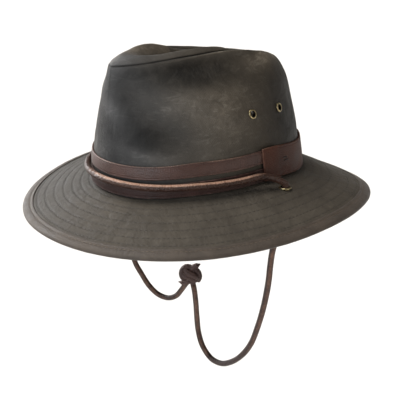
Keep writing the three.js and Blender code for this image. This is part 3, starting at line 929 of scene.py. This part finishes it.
def add_cords():
    heights = np.array([-CORD_BELOW_BRIM, 0, CORD_ABOVE_BRIM])
    front = through_eyelet("left", heights)
    front.append(round_front(CORD_TURNS_IN["left"], CORD_TURNS_IN["stand"]))
    round_ = np.linspace(CORD_ROUND["from"], CORD_ROUND["to"], CORD_ROUND["points"])
    front += [round_front(degrees) for degrees in round_]
    front.append(round_front(CORD_TURNS_IN["right"], CORD_TURNS_IN["stand"]))
    front += through_eyelet("right", heights[::-1])
    path = smooth_path(front, CORD_STEP)
    # Painted highlight along the top of the front cord
    rubbed_and_highlight = np.interp(np.linspace(0, 1, len(path)), CORD_HIGHLIGHT["along"], CORD_HIGHLIGHT["amount"])
    bm = round_cord(path, CORD_DIAMETER / 2 + wobble(len(path), CORD_WOBBLE, 1), UP, rubbed_and_highlight)
    make_piece("front_cord_leather", bm, LEATHERS["cord_leather"], "cord_leather", "front_cord")

    knot = add_knot()
    for seed, side, strand in ((4, "left", STRAND_LEFT), (5, "right", STRAND_RIGHT)):
        reach = CORD_BELOW_BRIM + np.array([SEAT_GAP, 2 * CORD_DIAMETER])
        exits = through_eyelet(side, -reach)
        path = smooth_path([*exits, *strand], CORD_STEP)
        radii = CORD_DIAMETER / 2 + wobble(len(path), CORD_WOBBLE, seed)
        # The strand has a painted highlight on one side, and its darker leather is painted shade
        bm = round_cord(path, radii, STRAND_HIGHLIGHT["side"], STRAND_HIGHLIGHT["amount"])
        name = f"chin_cord_{side}"
        cord = make_piece(f"{name}_leather", bm, LEATHERS["shaded_hanging_leather"], "cord_leather", name)


def knot_points(points):
    turn = math.radians(KNOT_TURN)
    right = np.array([math.cos(turn), math.sin(turn), 0])
    outwards = np.array([math.sin(turn), -math.cos(turn), 0])
    middle = np.array(KNOT_MIDDLE)
    return [middle + right * across + outwards * out + UP * rise for across, rise, out in points]


def add_knot():
    """The knot's turns and tails, and the ends of both strands, round a core that fills it."""
    whole = bmesh.new()
    paths = [knot_points(points) for points in KNOT_TURNS.values()]
    for strand in (STRAND_LEFT, STRAND_RIGHT):
        before, end = (np.array(point, float) for point in strand[-2:])
        paths.append([end + unit(end - before) * reach for reach in (SEAT_GAP, 5, 9)])
    tails = [list(KNOT_TURNS).index(name) for name in ("tail_left", "tail_right")]
    for seed, points in enumerate(paths):
        path = smooth_path(points, KNOT_STEP)
        radii = CORD_DIAMETER / 2 + wobble(len(path), KNOT_WOBBLE, seed + 3)
        if seed in tails:
            end = smoothstep(TAIL_TAPER["from"], 1.0, np.linspace(0, 1, len(path)))
            radii = radii * (1 - TAIL_TAPER["amount"] * end)
        # Each turn has a painted highlight along its top
        mesh = new_mesh("turn", round_cord(path, radii, UP))
        whole.from_mesh(mesh)
        bpy.data.meshes.remove(mesh)
    right = knot_points([(1, 0, 0)])[0] - np.array(KNOT_MIDDLE)
    across, rise, out = KNOT_CORE
    core = frame_matrix(KNOT_MIDDLE, right, UP, (across, out, rise))
    bmesh.ops.create_uvsphere(whole, u_segments=24, v_segments=16, radius=1, matrix=core)
    return make_piece("chin_knot_leather", whole, LEATHERS["knot_leather"], "cord_leather", "chin_knot")


add_cords()


# Crown

# Tone of the wax, above zero paler and below zero darker: partly the wax's own mottling and partly
# painted light and shade.
# The dark patches in the dents, under the tip's ridge and on the side away from the lights are painted
# shade, and the pale ones on the bulges are painted light.
WAX_AND_LIGHT_PATCHES = (
    Patch(-25, 0.49, 31, 0.28, -0.001, 1.15),
    Patch(-28, 0.82, 25, 0.075, 0.002, -1.7),
    Patch(-4, 0.95, 15, 0.06, 0, 0.8),
    Patch(-43, 0.66, 10, 0.09, 0, 0.3),
    Patch(-47, 0.44, 26, 0.16, 0, -0.85),
    Patch(-62, 0.46, 12, 0.1, 0.004, -0.5),
    Patch(-87, 0.67, 13, 0.1, 0.005, 0.65),
    Patch(-94, 0.5, 9, 0.09, 0, -0.4),
    Patch(-84, 0.27, 12, 0.07, 0, -0.35),
    Patch(40, 0.38, 26, 0.3, 0, -1.2),
    Patch(-83, 1, 22, 0.14, -0.002, 0.7),
    Patch(32, 0.87, 25, 0.08, -0.003, 1.35),
    Patch(-72, 0.7, 10, 0.14, 0.008, -0.35),
    Patch(-61, 0.32, 14, 0.05, 0.003, 0.8),
    Patch(-99, 0.88, 8, 0.11, -0.003, -0.9),
    Patch(-106, 0.32, 9, 0.08, 0, 0.5),
    Patch(-136, 0.55, 18, 0.2, 0.006, -0.4),
    Patch(-150, 0.8, 14, 0.08, 0.002, 0.35),
    Patch(84, 0.5, 18, 0.18, -0.004, 0.35),
    Patch(112, 0.72, 16, 0.12, 0.005, -0.4),
    Patch(146, 0.45, 16, 0.2, 0, 0.35),
)
WAX_BASE = -0.27

# A painted cool reflection tints the wax at the crown's front, and on the brim from one cosine of the
# angle to the next
COOL_REFLECTION_FRONT = {"angle": -82, "spread": 42}
BRIM_COOL_REFLECTION = {"all": 0.15, "right": 0.4, "cosines": (0.3, -0.6)}

# How the outer layers of side and tip are tucked in where they meet, from this level or reach
TUCKS = {"side": {"depth": 0.7, "from": 0.978}, "tip": {"depth": 0.9, "from": 0.972}}
# The seam between side and tip is a dark line, from the first level or reach to full at the second
TIP_SEAM = {"dark": 1.8, "crown_levels": (0.988, 0.996), "tip_reaches": (0.984, 0.993)}
# The tip's ridge on the wearer's right has painted light: it is paler where the light falls on it
TIP_PAINTED_LIGHT = {"angle": -140, "spread": 48, "reaches": (0.45, 0.75)}
# How many rub marks each cloth has
RUBS = {"crown": 1.0, "tip": 0.7, "brim": 0.3}


def signed_degrees(angle):
    """Angles between -180 and 180 degrees."""
    return np.degrees(np.arctan2(np.sin(angle), np.cos(angle)))


def cool_reflection_at(angle):
    """Share of the painted cool reflection at the front, against the browner wax of the sides."""
    off = (signed_degrees(angle) - COOL_REFLECTION_FRONT["angle"]) / COOL_REFLECTION_FRONT["spread"]
    return np.exp(-(off ** 2))


# Wax tone with its painted light and shade, and the tip seam's dark line
def crown_wax_and_light(angle, level):
    degrees = signed_degrees(angle)
    tone = sum((patch.amount * within(patch, degrees, level) for patch in WAX_AND_LIGHT_PATCHES), WAX_BASE)
    return tone - TIP_SEAM["dark"] * smoothstep(*TIP_SEAM["crown_levels"], level)


def tip_wax_and_light(angle, reach):
    off = (signed_degrees(angle) - TIP_PAINTED_LIGHT["angle"]) / TIP_PAINTED_LIGHT["spread"]
    lit = np.exp(-(off ** 2)) * smoothstep(*TIP_PAINTED_LIGHT["reaches"], reach)
    return lit - TIP_SEAM["dark"] * smoothstep(*TIP_SEAM["tip_reaches"], reach)


def wax_marks(cloth, wax_and_light, cool_reflection):
    """The marks that the waxed cotton's material reads."""
    return {"WaxAndLight": wax_and_light, "CoolReflection": cool_reflection, "Rubs": np.full(len(wax_and_light), RUBS[cloth])}


def row_depth(angle):
    """How deep the rows of stitches pull the brim: more at the front and on the wearer's right."""
    return 1 - 0.7 * smoothstep(0.0, 0.65, np.cos(angle))


def row_line(distance, width):
    """1 along each row of stitches of the brim, and down to 0 beside it."""
    gap = np.abs(np.asarray(distance)[..., None] - np.array(BRIM_ROWS, float)).min(-1)
    return np.exp(-((gap / width) ** 2))


def brim_wax_and_shade(angle, distance):
    """Tone of the brim, with a line of painted shade along each row's groove, as strong as the groove is
    deep.
    """
    line = ROW_SHADE_LINE["dark"] * row_depth(angle) * row_line(distance, ROW_SHADE_LINE["width"])
    return ROW_SHADE_LINE["tone"] - line


def wall_rows(levels, closed=True):
    """Outline of a wall: along its outer layer (0), then back along its inner one (1)."""
    rows = [(0, level) for level in levels] + [(1, level) for level in levels[::-1]]
    return np.array([*rows, rows[0]] if closed else rows, float)


def round_piece(node, columns, rows, place, material, slot, cloth=None):
    """A piece of cloth all round the hat, with its join at the back. The function place takes
    angles and the rows' columns. The map has the cloth's size or, without one, is its plan."""
    def place_row(angle, row):
        return place(angle, *rows[row.astype(int)].T)

    around = np.linspace(math.pi / 2, math.pi / 2 + WHOLE_TURN, columns + 1)
    bm = bent_grid(around, np.arange(len(rows)), place_row)
    if cloth:
        set_cloth(bm, *cloth)
    else:
        set_plan(bm)
    close_up(bm)
    return make_piece(f"{node}_cloth", bm, material, slot, node)


def tucked_wall(tuck, layer, level):
    """Depth of a wall's layers under its surface. The outer one is tucked in at the tip's seam."""
    return CLOTH_WALL * layer + tuck["depth"] * smoothstep(tuck["from"], 1.0, level) * (1 - layer)


def add_crown_side():
    # The grid is closer at the tip's seam
    levels = np.concatenate([np.linspace(0, 0.96, 70), [0.972, 0.982, 0.99, 0.996, 1.0]])

    def place(angle, layer, level):
        spots = crown_out(angle, level, -tucked_wall(TUCKS["side"], layer, level))
        bare = crown_at(angle, level)
        crumples = CRUMPLES.amount * within(CRUMPLES, signed_degrees(angle), level)
        lift = lumps("crown", bare) + crumples * ripple(bare, CRUMPLE_SIZE, 3)
        # The lumps fade out at both seams
        ease = smoothstep(0.0, 0.3, level) * (1 - smoothstep(0.93, 1.0, level))
        marks = wax_marks("crown", crown_wax_and_light(angle, level), cool_reflection_at(angle))
        return spots + out_of_crown(angle, level) * (lift * ease)[:, None], marks

    side = round_piece("crown_side", 300, wall_rows(levels), place, COTTON, "waxed_cotton", (520, 230))
    for where in VENT_PLACES.values():
        drill(side, VENT["barrel"], *vent_seat(where))


def vent_seat(where):
    angle = np.array(math.radians(where["angle"]))
    level = level_of(angle, where["height"])
    return crown_out(angle, level, -CLOTH_WALL / 2), out_of_crown(angle, level)


def add_crown_tip():
    reaches = np.concatenate([[0.0], np.linspace(0.03, 0.97, 58), [0.98, 0.99, 0.996, 1.0]])

    def place(angle, layer, reach):
        # Straight up in the middle, where all angles meet
        up = -outward(tip_at, angle, np.clip(reach, 0.03, 0.985))
        up[reach < 0.02] = UP
        spots = tip_at(angle, reach)
        # The lumps fade out in the middle and at the seam
        ease = smoothstep(0.0, 0.1, reach) * (1 - smoothstep(0.9, 0.98, reach))
        lift = lumps("tip", spots) * ease - tucked_wall(TUCKS["tip"], layer, reach)
        return spots + up * lift[:, None], wax_marks("tip", tip_wax_and_light(angle, reach), cool_reflection_at(angle))

    rows = wall_rows(reaches, closed=False)
    round_piece("crown_tip", 300, rows, place, COTTON, "waxed_cotton")


# Brim

def brim_distances():
    """Ways out from the crown of the brim's grid, closer together at each row of stitches."""
    near = [row + step for row in BRIM_ROWS for step in (-3.7, -2.3, -1.3, -0.6, 0, 0.6, 1.3, 2.3)]
    return np.array([-CLOTH_WALL, *near, 54, 57, 60, 61.6])


def brim_surface(angle, distance, under):
    """A point of the brim's cloth, above (under 0) or below (under 1)."""
    spot = brim_at(angle, out_share(distance))
    across, along = PUCKERS["round"] * np.cos(angle), PUCKERS["round"] * np.sin(angle)
    rolled = np.stack([across, along, distance / PUCKERS["drawn_out"]], -1)
    puff = lumps("brim", spot) + PUCKERS["depth"] * ripple(rolled, PUCKERS["size"], 10)
    # The cloth lies flat beside the crown and under the binding
    settle = smoothstep(0, 8, distance) * (1 - smoothstep(48, 52, distance))
    groove = ROW_GROOVE["depth"] * row_line(distance, ROW_GROOVE["width"]) * row_depth(angle)
    lift = puff * settle - groove * (1 - 2 * under) - BRIM_WALL * under
    return spot + UP * lift[..., None]


def add_brim():
    def place(angle, under, distance):
        # Painted cool reflection on the brim, with more of it on the wearer's right
        cool_reflection = BRIM_COOL_REFLECTION["all"] + BRIM_COOL_REFLECTION["right"] * smoothstep(*BRIM_COOL_REFLECTION["cosines"], np.cos(angle))
        marks = wax_marks("brim", brim_wax_and_shade(angle, distance), cool_reflection)
        return brim_surface(angle, distance, under), marks

    brim = round_piece("brim", 480, wall_rows(brim_distances()), place, COTTON, "waxed_cotton")
    for side in CORD_EYELET_ANGLES:
        drill(brim, CORD_EYELET["barrel"], *cord_seat(side))


def stitches_round(distance, pitch, surface):
    """Place, direction and up of each stitch of a row round the hat."""
    fine = np.linspace(0, WHOLE_TURN, 721)
    ring = surface(fine)
    gone = np.concatenate([[0], np.cumsum(np.linalg.norm(np.diff(ring, axis=0), axis=1))])
    count = int(gone[-1] / pitch)
    angles = np.interp((np.arange(count) + 0.5) / count * gone[-1], gone, fine)
    turn = 0.004
    ways = surface(angles + turn) - surface(angles - turn)
    ups = -outward(brim_at, angles, np.full(count, float(out_share(distance))))
    return surface(angles), ways, ups


def add_brim_stitches():
    eyes = [cord_seat(side)[0] for side in CORD_EYELET_ANGLES]
    clear = CORD_EYELET["flange"] + STITCH_CLEARANCE
    for name, under in (("brim_stitches_above", 0), ("brim_stitches_below", 1)):
        rows = []
        for distance in BRIM_ROWS:
            def surface(angle, distance=distance):
                return brim_surface(angle, np.full(np.shape(angle), float(distance)), under)

            for place, way, up in zip(*stitches_round(distance, STITCHES["brim"]["pitch"], surface)):
                if min(np.linalg.norm(place - eye) for eye in eyes) > clear:
                    rows.append((place, way, up))
        sew(name, rows, STITCHES["brim"]["size"], DARK_THREAD, "waxed_cotton")


# Section of the binding: the way out from the crown, and the height above the brim's cloth
BINDING_OUTLINE = (
    (53.4, 0.1), (53.4, 0.45), (53.7, 0.75), (54.3, 0.9), (55.3, 0.88), (56.0, 0.66), (56.4, 0.5),
    (56.8, 0.66), (57.6, 0.86), (59.4, 0.9), (61.0, 0.85), (62.0, 0.62), (62.6, 0.1), (62.9, -0.6),
    (62.85, -1.3), (62.4, -2.0), (61.6, -2.5), (60.0, -2.65), (57.6, -2.66), (56.8, -2.46),
    (56.4, -2.3), (56.0, -2.46), (55.3, -2.66), (54.0, -2.6), (53.4, -2.25), (53.4, -1.9),
    (61.7, -1.9), (62.1, -0.9), (61.7, 0.1), (53.4, 0.1),
)


def add_binding():
    def place(angle, distance, above):
        spot = brim_at(angle, out_share(distance))
        return spot + UP * (above + lumps("binding", spot))[:, None], {}

    outline = np.array(BINDING_OUTLINE)
    round_piece("brim_binding", 480, outline, place, BINDING, "binding_cotton", (870, 24))
    rows = []
    for above in STITCHES["binding"]["heights"]:
        def surface(angle, above=above):
            return brim_at(angle, np.full(np.shape(angle), float(out_share(BINDING_ROW)))) + UP * above

        rows += zip(*stitches_round(BINDING_ROW, STITCHES["binding"]["pitch"], surface))
    sew("binding_stitches", rows, STITCHES["binding"]["size"], TAN_THREAD, "binding_cotton")


# Band

def strip_outline(width, wall, crease):
    """Section of a leather strip: height and stand of each corner, and how far it is rubbed. A
    pressed line runs along each edge, a crease's width inside it."""
    def mirrored(corners):
        return [(-height, stand, worn_and_highlight) for height, stand, worn_and_highlight in corners[::-1]]

    half = width / 2
    face = [
        (-half, wall * 0.35, 1.0),
        (-half + 0.08, wall * 0.72, 1.0),
        (-half + 0.35, wall * 0.95, 0.8),
        (-half + 0.8, wall, 0.35),
        (-half + crease - 0.35, wall, 0.0),
        (-half + crease, wall - 0.28, 0.0),
        (-half + crease + 0.4, wall, 0.0),
        (-half + crease + 1.2, wall + 0.06, 0.0),
    ]
    back = [(-half + 0.3, 0.0, 0.6), (-half + 0.05, wall * 0.12, 0.8)]
    middle = (0.0, wall + 0.1, 0.0)
    return np.array([*face, middle, *mirrored(face), *mirrored(back), *back, face[0]])


def leather_strip(node, strip, stand, material, seed, crease=1.5, step=1.2):
    """A leather strip bent round the crown, with rounded ends. Step is its grid's, in degrees."""
    outline = strip_outline(strip["high"] - strip["low"], LEATHER_WALL, crease)
    start, end = strip["from"], strip["to"]
    ends = np.array([0.0, 0.02, 0.08, 0.2, STRIP_END])
    between = np.arange(start + STRIP_END + step, end - STRIP_END - step / 2, step)
    angles = np.concatenate([start + ends, between, end - ends[::-1]])
    middle = (strip["low"] + strip["high"]) / 2

    def place(degrees, row):
        height, rise, rubbed_and_highlight = outline[row.astype(int)].T
        near = np.minimum(degrees - start, end - degrees)
        shrink = 0.5 * (1 - np.sqrt(np.clip(near / STRIP_END, 0, 1)))
        angle = np.radians(degrees)
        height = height * (1 - shrink / (strip["high"] - strip["low"])) + middle
        rise = blend(rise, LEATHER_WALL / 2, shrink)
        spots = band_place(angle, height, stand + rise)
        wave = 0.16 * ripple(spots, 24, seed) * smoothstep(0, 3, near)
        lit = 0.45 + 0.55 * smoothstep(-0.1, 0.5, ripple(spots, 30, seed + 5))
        worn_and_highlight = np.maximum(rubbed_and_highlight, (1 - smoothstep(0.1, 0.6, near)) * 0.5) * lit
        out = out_of_crown(angle, band_level(angle, height))
        return spots + out * wave[:, None], {"WornAndPaintedLight": worn_and_highlight}

    bm = bent_grid(angles, np.arange(len(outline)), place)
    set_cloth(bm, (end - start) / 360 * 560, 28)
    close_up(bm, open_ends=True)
    make_piece(f"{node}_leather", bm, material, "band_leather", node)


def add_band():
    for seed, (node, strap) in enumerate(STRAPS.items()):
        strip = {**strap, "from": WRAP["to"] + STRAP_GAP, "to": WRAP["from"] + 360 - STRAP_GAP}
        leather_strip(node, strip, SEAT_GAP, LEATHERS[strap["leather"]], 20 + seed)
    material = LEATHERS["wrap_leather"]
    leather_strip("band_wrap", WRAP, SEAT_GAP, material, 23, crease=1.7, step=0.8)
    leather_strip("band_keeper", KEEPER, OVER_STRAP, material, 24, crease=1.2, step=0.5)
    tacks = []
    stand = SEAT_GAP + LEATHER_WALL + TACKS["stand"]
    turn, rise = TACKS["stretch"]
    for degrees, height in TACKS["places"]:
        angle = np.array(math.radians(degrees))
        place = band_place(angle, height, stand)
        beside = band_place(angle + turn, height + rise, stand)
        tacks.append((place, beside - place, out_of_crown(angle, band_level(angle, height))))
    sew("wrap_tacks", tacks, TACKS["size"], BLACK_THREAD, "band_leather")


# Eyelets

def eyelet(node, sizes, wall, place, direction):
    """A brass eyelet turned from its section: washer below, barrel, and rounded flange above."""
    half = wall / 2 + sizes["gap"]
    hole, barrel, flange, rim = (sizes[key] for key in ("hole", "barrel", "flange", "rim"))
    section = [
        (hole, -half - rim * 0.4),
        (hole + 0.2, -half - rim * 0.7),
        (flange - 0.9, -half - rim * 0.6),
        (flange - 0.5, -half - rim * 0.3),
        (flange - 0.6, -half),
        (barrel, -half),
        (barrel, half),
        (flange - 0.15, half),
        (flange, half + rim * 0.25),
        (flange - 0.25, half + rim * 0.65),
        (flange - 0.8, half + rim * 0.95),
        (hole + 0.7, half + rim),
        (hole + 0.25, half + rim * 0.7),
        (hole, half + rim * 0.1),
    ]
    bm = bmesh.new()
    bm.loops.layers.uv.new("Cloth")
    # Painted shade: the inside of the hole and the part below the cloth are near black
    dark = bm.verts.layers.float.new("WornAndPaintedLight")
    verts = [bm.verts.new((radius, 0, height)) for radius, height in section]
    for vert in verts:
        vert[dark] = float(vert.co.x < hole + 0.3 or vert.co.z < half)
    edges = [bm.edges.new((verts[i], verts[(i + 1) % len(verts)])) for i in range(len(verts))]
    turn = {"cent": (0, 0, 0), "axis": (0, 0, 1), "angle": WHOLE_TURN, "steps": 36}
    bmesh.ops.spin(bm, geom=verts + edges, use_merge=True, **turn)
    bmesh.ops.transform(bm, matrix=axis_matrix(place, direction), verts=bm.verts)
    bmesh.ops.recalc_face_normals(bm, faces=bm.faces)
    make_piece(f"{node}_brass", bm, BRASS, "brass", node)


def add_eyelets():
    for node, where in VENT_PLACES.items():
        eyelet(node, VENT, CLOTH_WALL, *vent_seat(where))
    for side in CORD_EYELET_ANGLES:
        eyelet(f"cord_eyelet_{side}", CORD_EYELET, BRIM_WALL, *cord_seat(side))


add_crown_side()
add_crown_tip()
add_brim()
add_brim_stitches()
add_binding()
add_band()
add_eyelets()


# Floor and studio light

def add_floor():
    bm = bmesh.new()
    bmesh.ops.create_grid(bm, x_segments=1, y_segments=1, size=30)
    floor = new_object("floor", new_mesh("floor", bm))
    floor.location.z = FLOOR_HEIGHT * MM
    material, tree, shader = new_material("pale_floor")
    set_inputs(tree, shader, {"Base Color": (*FLOOR_GREY, 1), "Roughness": 0.9})
    floor.data.materials.append(material)


def add_light(name, spot, power, colour):
    """A wide, soft sun that shines on the hat from a spot of LIGHTS."""
    across, back, height = spot
    flat_back = unit(CAMERA_BACK * np.array([1, 1, 0]))
    spot = CAMERA_RIGHT * across + flat_back * back + UP * height
    data = bpy.data.lights.new(name, "SUN")
    data.energy = power
    data.color = colour
    data.angle = math.radians(LIGHT_WIDTH)
    light = new_object(name, data)
    light.location = Vector(spot)
    light.rotation_mode = "QUATERNION"
    light.rotation_quaternion = Vector(-spot).to_track_quat("-Z", "Y")


# The world is pale to the camera, and a soft light from all round of this strength
WORLD_LIGHT = 0.12
# The lights' width as seen from the hat, in degrees, then for each its place in metres to the
# camera's right, towards the camera and up, its power and its colour
LIGHT_WIDTH = 40
LIGHTS = {
    "left_back": ((-0.72, -0.7, 0.4), 3.2, (1, 0.99, 0.99)),
    "left_front": ((-0.7, 0.7, 0.21), 2.1, (0.86, 0.93, 1)),
    "top_left": ((-1.0, 0, 2.5), 3.0, (1, 0.95, 0.88)),
    "right_front": ((0.7, 0.7, 0.21), 0.5, (1, 0.87, 0.75)),
}


def add_studio():
    world = bpy.data.worlds.new("studio")
    world.use_nodes = True
    tree = world.node_tree
    seen = add_node(tree, "ShaderNodeLightPath").outputs["Is Camera Ray"]
    strength = remap(tree, seen, 0.0, 1.0, WORLD_LIGHT, 1.0)
    set_inputs(tree, tree.nodes["Background"], {"Color": (1, 1, 1, 1), "Strength": strength})
    bpy.context.scene.world = world
    bpy.context.scene.view_settings.view_transform = "Standard"
    for name, (spot, power, colour) in LIGHTS.items():
        add_light(name, spot, power, colour)


add_floor()
add_studio()
